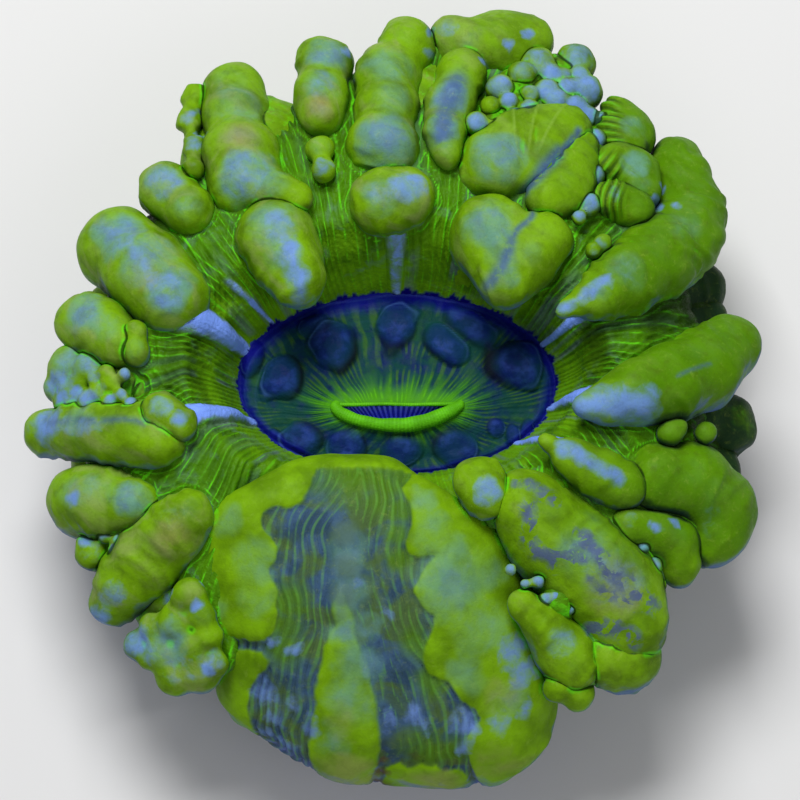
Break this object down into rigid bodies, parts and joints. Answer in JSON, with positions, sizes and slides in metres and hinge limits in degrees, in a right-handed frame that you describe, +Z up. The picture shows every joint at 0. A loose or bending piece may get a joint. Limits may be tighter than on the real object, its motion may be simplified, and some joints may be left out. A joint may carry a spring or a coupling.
{
  "type": "button coral",
  "caption": "Fleshy button coral polyp with swollen lobes round a sunken oral disc and a slit mouth, cut flat at the foot.",
  "frame": {"origin": "centre of the flat base where the coral was cut off its rock", "axes": "+Z up out of the base, through the oral disc; +X along the mouth slit; -Y towards the broad folded south lobe"},
  "size_m": [0.1094, 0.1193, 0.0422],
  "materials": {
    "coral_flesh": "soft wet flesh, lime green with grey-blue and violet patches and a deep blue oral disc"
  },
  "bodies": {
    "root": {"button_coral": "coral_flesh"}
  },
  "joints": []
}
